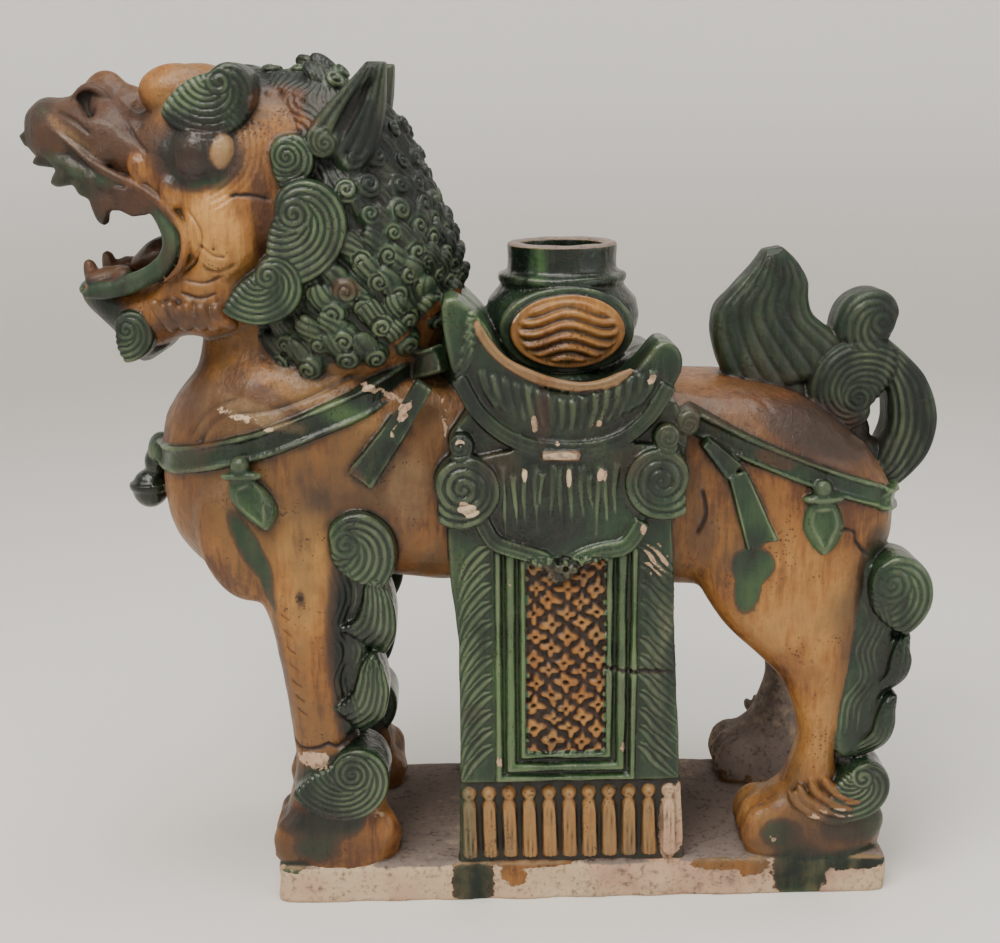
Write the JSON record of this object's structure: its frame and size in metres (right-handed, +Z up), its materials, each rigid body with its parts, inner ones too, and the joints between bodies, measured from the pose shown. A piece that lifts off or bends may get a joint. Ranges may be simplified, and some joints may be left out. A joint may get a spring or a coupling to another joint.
{
  "type": "ridge beast ornament",
  "caption": "Glazed ceramic roof-ridge lion striding on a slab, mouth open, with a curled mane, hung saddle cloths, a scrolled tail and an open vase on its saddle.",
  "frame": {"origin": "centre of the slab's flat underside", "axes": "-X the way the lion faces, -Y its near side, +Z up"},
  "size_m": [0.6198, 0.19, 0.576],
  "materials": {
    "glazed_stoneware": "Lead-type glazes over pinkish-cream clay: streaked green on mane, cloths, vase and tail, amber on face, body, legs and flower field, worn to bare clay in places; slab unglazed."
  },
  "bodies": {
    "root": {"ridge_lion": "glazed_stoneware"}
  },
  "joints": []
}
